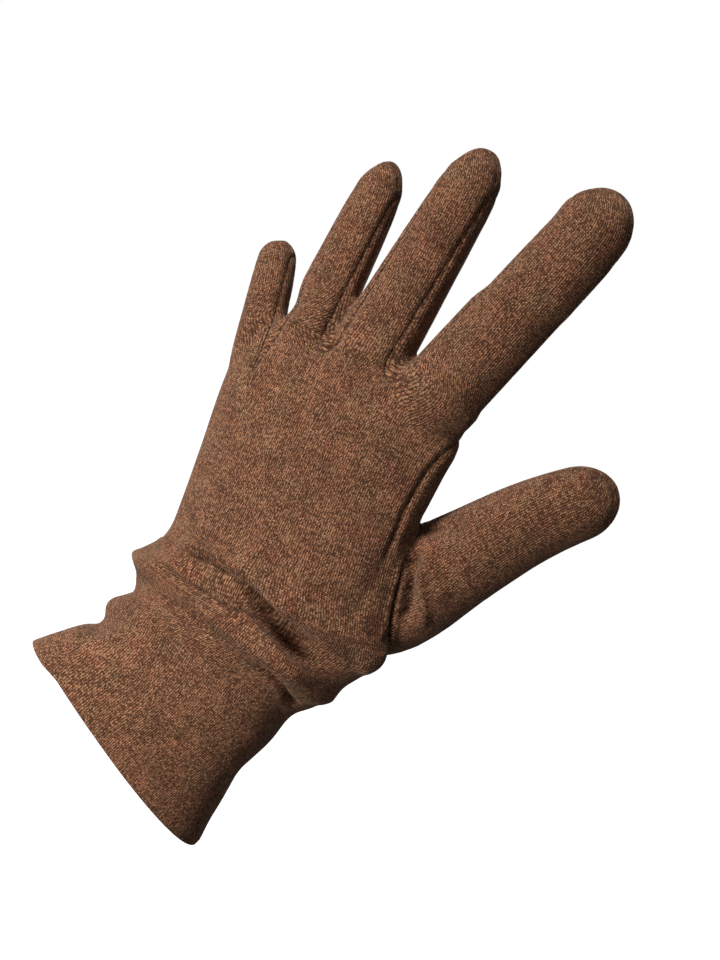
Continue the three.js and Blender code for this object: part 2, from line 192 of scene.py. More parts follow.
def fold_rise(above_wrist, angle):
    """Height of the folds at a distance above the wrist, round the tube."""
    rise = 0.0
    for fold in FOLDS.values():
        crest = round_value(fold["place"], angle) * FOLD_STRETCH
        away = np.abs(above_wrist - crest) / (fold["breadth"] * FOLD_STRETCH)
        rise = rise + round_value(fold["rise"], angle) * FOLD_HEIGHT * np.exp(-(away**3))
    return rise


# %% [markdown]
# ## Tubes
# A tube is described by functions of the place on its way up: its centre, the directions across and
# through it, its width and depth, and the folds that stand out of it.

# %% Tube functions
GRID_STEPS = 200
ROUND_STEPS = 96
cuff_heading = np.array([
    math.sin(math.radians(CUFF_LEAN)) * math.cos(math.radians(CUFF_LIFT)),
    math.sin(math.radians(CUFF_LIFT)),
    math.cos(math.radians(CUFF_LEAN)) * math.cos(math.radians(CUFF_LIFT)),
])
wrist = cuff_heading * CUFF_LENGTH


def hand_centre(at):
    """Centre of the hand tube: 0 to 1 up the cuff, 1 to 2 up the hand."""
    at = np.atleast_1d(np.asarray(at, float))
    shift = read(HAND, "shift", at) * PALM_WIDTH
    centre = np.minimum(at, 1)[:, None] * wrist
    centre[:, 0] += shift
    centre[:, 2] += PALM_LENGTH * np.maximum(at - 1, 0)
    return centre


def hand_section(at):
    """Sections of the hand tube: centre, across, through, width, depth and distance above the wrist."""
    at = np.atleast_1d(np.asarray(at, float))
    turn = np.radians(read(HAND, "turn", at) * RIM_SLOPE)
    pitch = np.radians(read(HAND, "pitch", at) * CUFF_LIFT)
    zero = np.zeros_like(at)
    across = np.stack([np.cos(turn), zero, -np.sin(turn)], 1)
    through = np.stack([zero, -np.cos(pitch), np.sin(pitch)], 1)
    rim, low, palm = (read(HAND, c, at) for c in ("rim", "wrist", "palm"))
    width = rim * RIM_WIDTH + low * WRIST_WIDTH + palm * PALM_WIDTH
    depth = (rim * RIM_DEPTH + low * WRIST_DEPTH + palm * PALM_DEPTH) * read(HAND, "deep", at)
    above = (at - 1) * np.where(at < 1, CUFF_LENGTH, PALM_LENGTH)
    return hand_centre(at), across, through, width, depth, above


def finger_section(name):
    """Sections of one finger, as a function of the share of its length."""
    f = FINGERS[name]
    lean, lift = math.radians(f["lean"]), math.radians(f["lift"])
    heading = np.array([math.sin(lean) * math.cos(lift), -math.sin(lift), math.cos(lean) * math.cos(lift)])
    across = np.array([math.cos(lean), 0, -math.sin(lean)])
    through = unit(np.cross(across, heading))
    start = hand_centre(2)[0] + np.array([f["across"] * PALM_WIDTH, 0, -f["down"] * PALM_LENGTH])

    def section(at):
        at = np.atleast_1d(np.asarray(at, float))
        width, depth = tube_size(FINGER, f, at)
        centre = start + at[:, None] * f["length"] * heading
        return centre, np.tile(across, (len(at), 1)), np.tile(through, (len(at), 1)), width, depth, None

    return section


def thumb_section(at):
    """Sections of the thumb, whose end turns outwards past the bend."""
    at = np.atleast_1d(np.asarray(at, float))
    t = THUMB_SIZES
    fine = np.linspace(0, 1, GRID_STEPS)
    lean = np.radians(t["lean"] + t["turn"] * np.maximum(0, (fine - t["bend"]) / (1 - t["bend"])))
    step = t["length"] * (fine[1] - fine[0])
    root = THUMB_START
    start = hand_centre(root["at"])[0] + np.array([root["across"] * PALM_WIDTH, root["sink"], 0])
    x = start[0] + np.concatenate([[0], np.cumsum(np.sin(lean[:-1]) * step)])
    z = start[2] + np.concatenate([[0], np.cumsum(np.cos(lean[:-1]) * step)])
    here = np.interp(at, fine, lean)
    centre = np.stack([np.interp(at, fine, x), np.full(len(at), start[1]), np.interp(at, fine, z)], 1)
    across = np.stack([np.cos(here), 0 * at, -np.sin(here)], 1)
    through = np.tile([0.0, -1.0, 0.0], (len(at), 1))
    width, depth = tube_size(THUMB, t, at)
    return centre, across, through, width, depth, None


TIP_END = 0.995


def tube_size(rows, sizes, at):
    """Width and depth of a finger or thumb, rounded off at its tip."""
    tip_start = 1 - sizes["tip"] / sizes["length"]
    in_tip = np.clip((at - tip_start) / (1 - tip_start), 0, TIP_END)
    rounding = np.sqrt(1 - in_tip**2)
    wider = sizes["root"] - sizes["width"]
    width = read(rows, "wide", at) * sizes["width"] + read(rows, "root", at) * wider
    return width * rounding, read(rows, "deep", at) * sizes["depth"] * rounding


def section_points(section, at, angles):
    """Points of a tube's surface: one ring of them at each place."""
    centre, across, through, width, depth, above = section(at)
    cos, sin = np.cos(angles), np.sin(angles)
    power = 2 / SQUARENESS
    x = np.sign(cos) * np.abs(cos) ** power * width[:, None] / 2
    y = np.sign(sin) * np.abs(sin) ** power * depth[:, None] / 2
    if above is not None:
        rise = fold_rise(above[:, None], angles[None, :])
        x, y = x + cos * rise, y + sin * rise
    return centre[:, None] + x[..., None] * across[:, None] + y[..., None] * through[:, None]


# %% [markdown]
# ## The form under the seams
# The tubes have to become one skin with soft webs between the fingers. They could be joined edge by
# edge, but a voxel remesh does it better for cloth: each tube is lofted by extruding a circle from
# place to place, all of them overlap in one mesh, and the remesh leaves only the outside. The rings lie
# closest where the wrist folds are.

# %% Places of the rings
HAND_FROM, FINGER_FROM = -0.14, -0.3
PLACES = {
    "hand": np.concatenate([
        [HAND_FROM, 0.0],
        np.linspace(0.06, 1, 20)[:-1],
        np.linspace(1, 1.45, 24),
        np.linspace(1.5, 2, 9),
    ]),
    "finger": np.array([FINGER_FROM, 0, 0.12, 0.24, 0.36, 0.48, 0.6, 0.72, 0.8]),
    "thumb": np.linspace(0, 0.84, 14),
}
TIP_TURNS = np.radians([0, 15, 30, 45, 58, 70, 80])
TIP_ROOM = 0.03
SIDES = {"hand": 64, "finger": 32, "thumb": 36}


def tip_places(sizes, places):
    """The places before the round tip, then places on it at angles of a quarter turn."""
    start = 1 - sizes["tip"] / sizes["length"]
    on_tip = start + (1 - start) * np.sin(TIP_TURNS)
    return np.concatenate([places[places < start - TIP_ROOM], on_tip])


# %% Loft the tubes
def loft(bm, section, places, sides):
    """Extrudes a circle up a tube and sets each ring to its section."""
    angle_layer = bm.verts.layers.float.get("angle") or bm.verts.layers.float.new("angle")
    ring = bmesh.ops.create_circle(bm, cap_ends=False, segments=sides, radius=1)["verts"]
    for v in ring:
        v[angle_layer] = math.atan2(v.co.y, v.co.x)
    bottom = edges = list({e for v in ring for e in v.link_edges})
    for n, at in enumerate(places):
        if n:
            made = bmesh.ops.extrude_edge_only(bm, edges=edges)["geom"]
            ring = [g for g in made if isinstance(g, bmesh.types.BMVert)]
            edges = [g for g in made if isinstance(g, bmesh.types.BMEdge)]
        points = section_points(section, at, np.array([v[angle_layer] for v in ring]))[0]
        for v, point in zip(ring, points):
            v.co = Vector(point * MM)
    bmesh.ops.holes_fill(bm, edges=bottom, sides=0)
    bmesh.ops.holes_fill(bm, edges=edges, sides=0)


SECTIONS = {"hand": hand_section, "thumb": thumb_section}
SECTIONS.update({name: finger_section(name) for name in FINGERS})
bm = bmesh.new()
loft(bm, hand_section, PLACES["hand"], SIDES["hand"])
for name, sizes in FINGERS.items():
    loft(bm, SECTIONS[name], tip_places(sizes, PLACES["finger"]), SIDES["finger"])
loft(bm, thumb_section, tip_places(THUMB_SIZES, PLACES["thumb"]), SIDES["thumb"])
bmesh.ops.recalc_face_normals(bm, faces=bm.faces)
tubes = bpy.data.meshes.new("tubes")
bm.to_mesh(tubes)
bm.free()
print("tubes:", len(tubes.polygons), "faces")

# %% Join them into one skin
VOXEL = 1.17
SMOOTH_PASSES, SMOOTH_SHARE = 6, 0.5
ALL_AXES = dict(use_axis_x=True, use_axis_y=True, use_axis_z=True)
form = bpy.data.objects.new("form", tubes)
bpy.context.scene.collection.objects.link(form)
remesh = form.modifiers.new("skin", "REMESH")
remesh.mode = "VOXEL"
remesh.voxel_size = VOXEL * MM
remeshed = form.evaluated_get(bpy.context.evaluated_depsgraph_get())
skin_mesh = bpy.data.meshes.new_from_object(remeshed)
bpy.data.objects.remove(form)
skin = bmesh.new()
skin.from_mesh(skin_mesh)
for _ in range(SMOOTH_PASSES):
    bmesh.ops.smooth_vert(skin, verts=skin.verts, factor=SMOOTH_SHARE, **ALL_AXES)
print("skin:", len(skin.verts), "points")

# %% [markdown]
# ## Where each point lies
# Seams, folds and stitches all need to know where a point of the skin lies on its tube: how far up, and
# how far round. The place is found from the stack of section planes, and the way round is measured
# along the cloth, so that stitches keep their size in the folds.


# %% Measure points on a tube
TINY = 1e-9


def measure_table(section, places, along):
    """A tube's section planes, and the cloth's length round each ring."""
    angles = np.linspace(0, 2 * np.pi, ROUND_STEPS + 1)
    rings = section_points(section, places, angles)
    steps = np.linalg.norm(np.diff(rings, axis=1), axis=2)
    arcs = np.concatenate([np.zeros((len(places), 1)), np.cumsum(steps, axis=1)], 1)
    centre, across, through, width, depth, _ = section(places)
    return dict(
        centre=centre, across=across, through=through, up=unit(np.cross(through, across)),
        width=width, depth=depth, arcs=arcs, along=along,
    )


def measure(rows, points):
    """Where points lie on a tube.

    along is the distance up it, arc the cloth's length round it, size is 1 on the section's oval, side
    goes through it as a share of half the depth, towards the back, and off is the distance across it.
    """
    up = rows["up"]
    ahead = points @ up.T - np.sum(rows["centre"] * up, 1)
    i = np.clip((ahead > 0).sum(1) - 1, 0, ahead.shape[1] - 2)
    k = np.arange(len(points))
    t = np.clip(ahead[k, i] / (ahead[k, i] - ahead[k, i + 1] + TINY), 0, 1)

    def between(name):
        a, b = rows[name][i], rows[name][i + 1]
        return a + (b - a) * (t[:, None] if a.ndim > 1 else t)

    d = points - between("centre")
    x = np.sum(d * between("across"), 1) / (between("width") / 2)
    y = np.sum(d * between("through"), 1) / (between("depth") / 2)
    power = SQUARENESS / 2
    angle = np.arctan2(np.sign(y) * np.abs(y) ** power, np.sign(x) * np.abs(x) ** power) % (2 * np.pi)
    size = (np.abs(x) ** SQUARENESS + np.abs(y) ** SQUARENESS) ** (1 / SQUARENESS)
    j = angle / (2 * np.pi) * ROUND_STEPS
    j0 = np.minimum(j.astype(int), ROUND_STEPS - 1)
    arcs = rows["arcs"]
    low = arcs[i, j0] + (arcs[i, j0 + 1] - arcs[i, j0]) * (j - j0)
    high = arcs[i + 1, j0] + (arcs[i + 1, j0 + 1] - arcs[i + 1, j0]) * (j - j0)
    return dict(
        along=between("along"), arc=low + (high - low) * t, size=size,
        side=y, off=x * between("width") / 2, middle=between("centre"),
    )


# %% Measure every tube
hand_grid = np.linspace(HAND_FROM, 2, GRID_STEPS)
hand_along = np.where(hand_grid < 1, hand_grid * CUFF_LENGTH, CUFF_LENGTH + (hand_grid - 1) * PALM_LENGTH)
MEASURES = {"hand": measure_table(hand_section, hand_grid, hand_along)}
for name, sizes in {**FINGERS, "thumb": THUMB_SIZES}.items():
    grid = np.linspace(FINGER_FROM if name in FINGERS else 0, 1, GRID_STEPS)
    MEASURES[name] = measure_table(SECTIONS[name], grid, grid * sizes["length"])
for name, rows in MEASURES.items():
    print(name, "has", round(float(rows["arcs"][GRID_STEPS // 2, -1]), 1), "mm of cloth round its middle")


def skin_points():
    """The skin's points, in millimetres."""
    return np.array([v.co for v in skin.verts], float) / MM


# %% [markdown]
# Folds, ridges and pulls are drawn later as lines on the surface. A line moves the points near it, most
# in the middle of its length, and fades away at both ends.

# %% Lines that move the cloth near them
END_FADE = 0.2
FAR_OFF = 1e9


def smoothstep(low, high, x):
    """A smooth step from 0 to 1."""
    t = np.clip((x - low) / (high - low), 0, 1)
    return t * t * (3 - 2 * t)


def mark_lift(points, height, breadth, line):
    """How far one line moves each point: height at the line, less at a distance of its breadth."""
    line = np.array(line, float)
    lengths = np.linalg.norm(np.diff(line, axis=0), axis=1)
    done = np.concatenate([[0], np.cumsum(lengths)])
    best, place = np.full(len(points), FAR_OFF), np.zeros(len(points))
    for a, b, low, span in zip(line, line[1:], done, lengths):
        t = np.clip((points - a) @ (b - a) / span**2, 0, 1)
        away = np.linalg.norm(points - a - t[:, None] * (b - a), axis=1)
        nearer = away < best
        best = np.where(nearer, away, best)
        place = np.where(nearer, (low + t * span) / done[-1], place)
    fade = smoothstep(0, END_FADE, place) * smoothstep(0, END_FADE, 1 - place)
    return height * np.exp(-((best / breadth) ** 2)) * fade


# %% [markdown]
# ## Cutting the panels
# The cloth is sewn from five pieces. The strips between the fingers have a rounded end below each fork,
# and the thumb is set in along its root. A seam is written as a function that is zero on the seam and
# positive on the piece's side, and the skin's edges are split where it changes sign. That gives a clean
# edge on any mesh, where picking whole faces would leave a staircase.

# %% Seam lines
SEAM_SHARE = 0.87
STRIP_FROM, STRIP_PAST = 0.12, 1.1
FORKS = {
    ("little", "ring"): 13.0,
    ("ring", "middle"): 6.5,
    ("middle", "index"): 6.0,
}
FORK_STEPS = 7


def beside(name, at, off):
    """A point beside a finger's axis, seen from the back."""
    centre, across, *_ = SECTIONS[name](at)
    return (centre[0] + across[0] * off)[[0, 2]]


def seam_off(name):
    """Distance from a finger's axis to the seam on its side."""
    return SEAM_SHARE * FINGERS[name]["width"] / 2


def strip_outline(left, right, drop):
    """Outline of the strip between two fingers, with a rounded end below the fork."""
    a = beside(left, STRIP_FROM, seam_off(left))
    b = beside(right, STRIP_FROM, -seam_off(right))
    middle, half, down = (a + b) / 2, (a - b) / 2, np.array([0, drop])
    turns = np.linspace(0, np.pi, FORK_STEPS)
    bottom = [middle + half * math.cos(t) - down * math.sin(t) for t in turns]
    top = [beside(right, STRIP_PAST, -seam_off(right)), beside(left, STRIP_PAST, seam_off(left))]
    return np.array(bottom + top)


def inside(outline, points):
    """Distance inside an outline, negative outside it."""
    best = np.full(len(points), FAR_OFF)
    within = np.zeros(len(points), bool)
    for a, b in zip(outline, np.roll(outline, -1, 0)):
        ab = b - a
        t = np.clip(((points - a) @ ab) / (ab @ ab), 0, 1)
        best = np.minimum(best, np.linalg.norm(points - a - t[:, None] * ab, axis=1))
        crosses = (a[1] > points[:, 1]) != (b[1] > points[:, 1])
        at = a[0] + (points[:, 1] - a[1]) / (ab[1] if ab[1] else TINY) * ab[0]
        within ^= crosses & (points[:, 0] < at)
    return np.where(within, best, -best)


# %% [markdown]
# The thumb's seam is given on the back of the hand as points from the top down, each across the hand and
# up it. Round the side it turns gently into the line where the thumb's tube comes out of the hand's.

# %% Thumb seam
THUMB_SEAM = (
    (66.0, 122.0), (66.0, 112.0), (67.0, 104.0), (68.0, 96.0),
    (69.2, 88.5), (70.8, 81.0), (71.9, 73.0), (71.3, 64.0),
)
THUMB_TURN_FROM, THUMB_TURN_OVER = 12, 8
THUMB_ZONE = dict(low=60, high=175, side=35)
THUMB_CUT_SIZE, THUMB_FACE_SIZE = 1.4, 1.25


def past_line(points, line):
    """Distance across the hand past a line of points from the top down."""
    line = np.array(line)
    return points[:, 0] - np.interp(points[:, 2], line[::-1, 1], line[::-1, 0])


def beyond_thumb_seam(points):
    """Distance past the thumb's seam, negative on the hand's side."""
    hand = measure(MEASURES["hand"], points)
    thumb = measure(MEASURES["thumb"], points)
    past = (hand["size"] - 1) * PALM_DEPTH - (thumb["size"] - 1) * THUMB_SIZES["depth"]
    blend = np.clip((points[:, 1] - THUMB_TURN_FROM) / THUMB_TURN_OVER, 0, 1)
    return past_line(points, THUMB_SEAM) * (1 - blend) + past * blend


def near_thumb(points, size):
    """Points by the thumb, up to a size against its section."""
    beside_it = (points[:, 2] > THUMB_ZONE["low"]) & (points[:, 2] < THUMB_ZONE["high"])
    beside_it &= points[:, 0] > THUMB_ZONE["side"]
    return beside_it & (measure(MEASURES["thumb"], points)["size"] < size)


# %% [markdown]
# The rim, the strips and the thumb are cut now. A new point that comes too close to an old one would
# make a sliver of a face, so each stays a twentieth of its edge away.

# %% Cut the rim, the strips and the thumb
NEAREST_CUT = 0.05


def cut_skin(values, within=None):
    """Splits the skin where the values change sign, and marks the new points as sewn."""
    skin.verts.index_update()
    sewn = skin.verts.layers.int.get("sewn") or skin.verts.layers.int.new("sewn")
    crossing = [
        e for e in skin.edges
        if values[e.verts[0].index] * values[e.verts[1].index] < 0
        and (within is None or (within[e.verts[0].index] and within[e.verts[1].index]))
    ]
    new = []
    for e in crossing:
        a, b = e.verts
        share = values[a.index] / (values[a.index] - values[b.index])
        made = bmesh.utils.edge_split(e, a, float(np.clip(share, NEAREST_CUT, 1 - NEAREST_CUT)))[1]
        made[sewn] = 1
        new.append(made)
    bmesh.ops.connect_verts(skin, verts=new)


RIM_DROP, RIM_TURN = 0.4, 2.1
rim_turn, rim_pitch = math.radians(RIM_SLOPE + RIM_TURN), math.radians(CUFF_LIFT)
rim_across = np.array([math.cos(rim_turn), 0, -math.sin(rim_turn)])
rim_up = unit(np.cross(np.array([0, -math.cos(rim_pitch), math.sin(rim_pitch)]), rim_across))
bmesh.ops.bisect_plane(
    skin, geom=[*skin.verts, *skin.edges, *skin.faces], plane_co=Vector(-rim_up * RIM_DROP * MM),
    plane_no=Vector(rim_up), clear_inner=True,
)
outlines = {pair: strip_outline(*pair, drop) for pair, drop in FORKS.items()}
for outline in outlines.values():
    cut_skin(inside(outline, skin_points()[:, [0, 2]]))
points = skin_points()
cut_skin(beyond_thumb_seam(points), near_thumb(points, THUMB_CUT_SIZE))

# %% [markdown]
# The side seam comes down from the index finger and crosses to the back of the hand above the thumb.

# %% Side seam
SIDE_SEAM = (
    (66.0, 150.0), (64.7, 143.8), (62.4, 135.3), (61.8, 127.9), (61.1, 119.7), (61.5, 111.3), (62.3, 101.4),
)
SIDE_SEAM_DEEP, SIDE_SEAM_REACH = 20.0, 4.0
points = skin_points()
beyond = past_line(points, SIDE_SEAM)
on_seam = (points[:, 2] > SIDE_SEAM[-1][1]) & (points[:, 2] < SIDE_SEAM[0][1])
on_seam &= (np.abs(beyond) < SIDE_SEAM_REACH) & (points[:, 1] < SIDE_SEAM_DEEP)
cut_skin(beyond, on_seam)

# %% [markdown]
# Over each fingertip the back and the palm of the glove meet in one short seam, a little towards the
# back. It joins the ends of the strips, so it is cut into the skin in the same way. The index finger has
# no strip towards the thumb, and the thumb has none, so there the seam runs on down one side. That side
# is 1 towards the thumb and -1 towards the little finger, and run is the seam's length.

# %% Fingertip seams
TIP_SEAM_FROM = 0.45
TIP_SIZE, SIDE_SIZE, TIP_REACH = 1.5, 1.25, 0.8
TIP_SEAM = {
    "little": dict(back=2.0, side=0, run=0),
    "ring": dict(back=2.6, side=0, run=0),
    "middle": dict(back=2.8, side=0, run=0),
    "index": dict(back=1.5, side=1, run=88),
    "thumb": dict(back=4.6, side=-1, run=60),
}
for name, place in TIP_SEAM.items():
    sizes = THUMB_SIZES if name == "thumb" else FINGERS[name]
    points = skin_points()
    at = measure(MEASURES[name], points)
    from_end = points - SECTIONS[name](1)[0][0]
    tip = at["along"] > sizes["length"] - sizes["tip"] * (1 - TIP_SEAM_FROM)
    tip &= at["size"] < TIP_SIZE
    tip |= from_end @ MEASURES[name]["up"][-1] > 0
    tip &= np.linalg.norm(from_end, axis=1) < sizes["width"] * TIP_REACH
    beside_it = (at["off"] * place["side"] > 0) & (at["along"] > sizes["length"] - place["run"])
    tip |= beside_it & (at["size"] < SIDE_SIZE)
    towards_back = np.sum((points - at["middle"]) * MEASURES[name]["through"][0], 1)
    cut_skin(towards_back - place["back"], tip)
print("after the cuts:", len(skin.verts), "points")

# %% [markdown]
# Two places are worn out of shape: the fork between the little and the ring finger is deeper than the
# joined tubes leave it, and the little finger's corner of the rim hangs lower. The cloth is pulled there.
# A pull stays shallower than its breadth, or the cloth would fold over and tear.

# %% Pull the cloth down
PULLS = {
    "little_fork": (
        2.2, 4.2, (0, 0, -1),
        ((-9.5, -4, 169), (-9.0, 12, 168), (-9.0, 28, 169)),
    ),
    "rim_corner": (
        2.4, 11.0, -cuff_heading,
        ((-22, -24, 10), (-34, -20, 15), (-44, -8, 19), (-47, 6, 20), (-42, 30, 18)),
    ),
}
for name, (far, reach, way, line) in PULLS.items():
    pull = mark_lift(skin_points(), far, reach, line)
    for v, by in zip(skin.verts, pull):
        v.co += Vector(way) * by * MM
    print(name, "is pulled by up to", round(pull.max(), 1), "mm")

# %% Name each face's panel
PANELS = [
    "hand_panel",
    "fourchette_little_ring", "fourchette_ring_middle", "fourchette_middle_index",
    "thumb_piece",
]
THUMB_PANEL = len(PANELS) - 1
panel_of = np.zeros(len(skin.faces), int)
centres = np.array([f.calc_center_median() for f in skin.faces], float) / MM
for n, outline in enumerate(outlines.values()):
    panel_of[inside(outline, centres[:, [0, 2]]) > 0] = n + 1
on_thumb = (beyond_thumb_seam(centres) > 0) & near_thumb(centres, THUMB_FACE_SIZE)
panel_of[on_thumb & (panel_of == 0)] = THUMB_PANEL
print({name: int((panel_of == n).sum()) for n, name in enumerate(PANELS)})


# %% [markdown]
# ## Stitch coordinates
# A jersey's stitches stand in columns, the wales, which run up the hand and on up each finger. The
# knitted surface is drawn in these coordinates: millimetres round the cloth and up along it. On the way
# from the hand into a finger, one set of coordinates turns gently into the other.

# %% Work out the coordinates
BEND_REACH = 16.0
TURN_OVER = 30.0
RULER_LOW, RULER_PAST = 40.0, 5.0
TO_EACH_SIDE = 10.0
WEIGHT_FALL, LEAST_WEIGHT = 3.0, 1e-12
PLAIN_ABOVE_WRIST = 30.0


def bent_ruler(name):
    """Section planes that follow the hand, then turn gently to follow one finger."""
    f = FINGERS[name]
    along = np.linspace(-RULER_LOW, f["length"] + RULER_PAST, GRID_STEPS)
    turn = smoothstep(-BEND_REACH, BEND_REACH, along)
    lean, lift = np.radians(f["lean"]) * turn, np.radians(f["lift"]) * turn
    heading = np.stack([np.sin(lean) * np.cos(lift), -np.sin(lift), np.cos(lean) * np.cos(lift)], 1)
    across = np.stack([np.cos(lean), 0 * lean, -np.sin(lean)], 1)
    step = along[1] - along[0]
    path = np.concatenate([np.zeros((1, 3)), np.cumsum(heading[:-1] * step, 0)])
    centre = path - path[-1] + SECTIONS[name](along[-1:] / f["length"])[0]
    ones = np.ones(GRID_STEPS)
    arcs = np.zeros((GRID_STEPS, ROUND_STEPS + 1))
    return dict(
        centre=centre, across=across, through=unit(np.cross(across, heading)), up=heading,
        width=2 * ones, depth=2 * ones, arcs=arcs, along=along,
    )


def quarter_arc(name, place, quarter):
    """Cloth length from the thumb side to the back, little-finger side or palm."""
    rows = MEASURES[name]
    return rows["arcs"][place, quarter * ROUND_STEPS // 4]


def hand_round(points):
    """Cloth length round the hand, from the middle of the back."""
    hand = measure(MEASURES["hand"], points)
    back = np.interp(hand["along"], hand_along, quarter_arc("hand", slice(None), 1))
    return hand["arc"] - back, hand["along"]


def panel_coordinates(points):
    """Round and along coordinates of the hand panel's cloth."""
    base_round, base_along = hand_round(points)
    total = np.zeros((len(points), 2))
    weights = np.zeros(len(points))
    for name, f in FINGERS.items():
        ruler = bent_ruler(name)
        here = measure(ruler, points)
        start = ruler["centre"][0]
        up_it = here["along"] + RULER_LOW
        unbent = np.stack([start[0] + here["off"], start[1] - here["side"], start[2] + up_it], 1)
        round_, _ = hand_round(unbent)
        finger = measure(MEASURES[name], points)
        back = here["side"] > 0
        base = np.stack([start, start])
        base[:, 1] += np.array([-TO_EACH_SIDE, TO_EACH_SIDE])
        level, _ = hand_round(base)
        quarter = quarter_arc(name, GRID_STEPS // 2, 1), quarter_arc(name, GRID_STEPS // 2, 3)
        one_sided = name == "little"
        shift = np.where(back | one_sided, level[0] - quarter[0], level[1] - quarter[1])
        own = finger["arc"] + shift
        mix = smoothstep(0, TURN_OVER, here["along"])
        round_ = round_ + mix * (own - round_)
        straight = CUFF_LENGTH - wrist[2] + unbent[:, 2]
        along = np.where(points[:, 2] < start[2], base_along, straight)
        weight = np.exp(-WEIGHT_FALL * (here["off"] / (f["width"] / 2)) ** 2) + LEAST_WEIGHT
        total += weight[:, None] * np.stack([round_, along], 1)
        weights += weight
    place = total / weights[:, None]
    low = points[:, 2] < wrist[2] + PLAIN_ABOVE_WRIST
    place[low] = np.stack([base_round, base_along], 1)[low]
    return place


def strip_coordinates(left, right):
    """Coordinates of the strip between two fingers: through the glove, and up along it."""

    def work(points):
        a, b = measure(MEASURES[left], points), measure(MEASURES[right], points)
        along = np.where(a["size"] < b["size"], a["along"], b["along"])
        return np.stack([points[:, 1], along], 1)

    return work


def thumb_coordinates(points):
    """Coordinates of the thumb's cloth."""
    thumb = measure(MEASURES["thumb"], points)
    return np.stack([thumb["arc"], thumb["along"]], 1)


COORDINATES = [panel_coordinates, *(strip_coordinates(*pair) for pair in FORKS), thumb_coordinates]

# %% [markdown]
# ## Creases and ridges
# The slouched wrist has sharp lips where one roll leans on the next, the side seam draws the cloth in,
# and the thumb's seam pulls it into small pleats. Cloth simulation would fold the wrist in its own way,
# so these marks are drawn instead, with the lines from before: each has its height, negative for a
# hollow, its breadth and its points.

